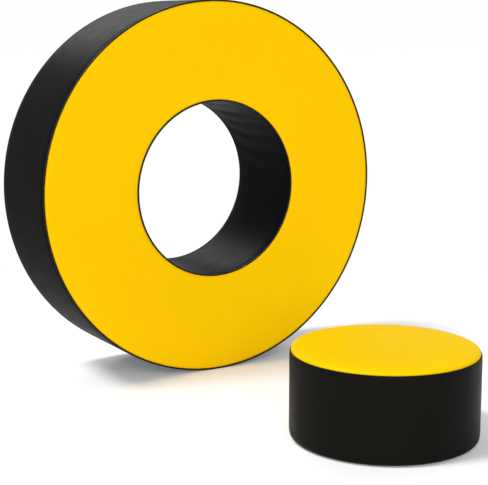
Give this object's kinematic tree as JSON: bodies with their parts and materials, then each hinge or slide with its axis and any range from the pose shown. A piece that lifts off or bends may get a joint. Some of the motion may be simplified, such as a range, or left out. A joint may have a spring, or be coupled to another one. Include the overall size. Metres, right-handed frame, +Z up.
{
  "type": "tackle wheel",
  "caption": "Foam ring with a yellow and black vinyl cover and an open centre, standing on its rim, with the round foam core that fills the centre standing beside it.",
  "frame": {"origin": "middle of the flat patch on which the wheel's tread stands", "axes": "+Z up, +Y along the wheel's axis from the pictured face to the back, +X to the right as seen from that face"},
  "size_m": [0.9128, 1.0908, 0.9127],
  "materials": {
    "yellow_vinyl": "satin",
    "black_vinyl": "satin",
    "foam": "matte",
    "zip_tape": "matte",
    "zip_plastic": "satin",
    "zip_metal": "satin"
  },
  "bodies": {
    "wheel": {"wheel_foam_front": "foam", "wheel_foam_middle": "foam", "wheel_foam_back": "foam", "wheel_face_front": "yellow_vinyl", "wheel_face_back_inner": "yellow_vinyl", "wheel_face_back_outer": "yellow_vinyl", "wheel_tread_band": "black_vinyl", "wheel_sleeve_band": "black_vinyl", "wheel_welt_front_rim": "black_vinyl", "wheel_welt_front_hole": "black_vinyl", "wheel_welt_back_rim": "black_vinyl", "wheel_welt_back_hole": "black_vinyl", "wheel_zip_patch": "black_vinyl", "wheel_zip_tape_lower": "zip_tape", "wheel_zip_tape_upper": "zip_tape", "wheel_zip_chain": "zip_plastic", "wheel_zip_stop_start": "zip_plastic", "wheel_zip_stop_end": "zip_plastic"},
    "wheel_slider": {"wheel_zip_slider": "zip_metal"},
    "wheel_pull": {"wheel_zip_pull": "zip_metal"},
    "core": {"core_foam_lower": "foam", "core_foam_upper": "foam", "core_top": "yellow_vinyl", "core_side_band": "black_vinyl", "core_base": "black_vinyl", "core_welt_top": "black_vinyl", "core_welt_base": "black_vinyl", "core_zip_tape_lower": "zip_tape", "core_zip_tape_upper": "zip_tape", "core_zip_chain": "zip_plastic", "core_zip_stop_start": "zip_plastic", "core_zip_stop_end": "zip_plastic"},
    "core_slider": {"core_zip_slider": "zip_metal"},
    "core_pull": {"core_zip_pull": "zip_metal"}
  },
  "joints": [
    {"name": "core_lift", "type": "slide", "parent": "wheel", "child": "core", "axis": [0, 0, 1], "range_m": [0, 1]},
    {"name": "wheel_zip_run", "type": "hinge", "parent": "wheel", "child": "wheel_slider", "pos_m": [0, 0.127, 0.45637], "axis": [0, -1, 0], "range_deg": [0, 324.2]},
    {"name": "wheel_pull_swing", "type": "hinge", "parent": "wheel_slider", "child": "wheel_pull", "pos_m": [0.412, 0.13373, 0.45637], "axis": [1, 0, 0], "range_deg": [0, 175]},
    {"name": "core_zip_run", "type": "hinge", "parent": "core", "child": "core_slider", "pos_m": [0.04, -0.755, 0.04], "axis": [0, 0, 1], "range_deg": [0, 123.2]},
    {"name": "core_pull_swing", "type": "hinge", "parent": "core_slider", "child": "core_pull", "pos_m": [0.24667, -0.75005, 0.04], "axis": [0, 0, 1], "range_deg": [0, 175]}
  ]
}
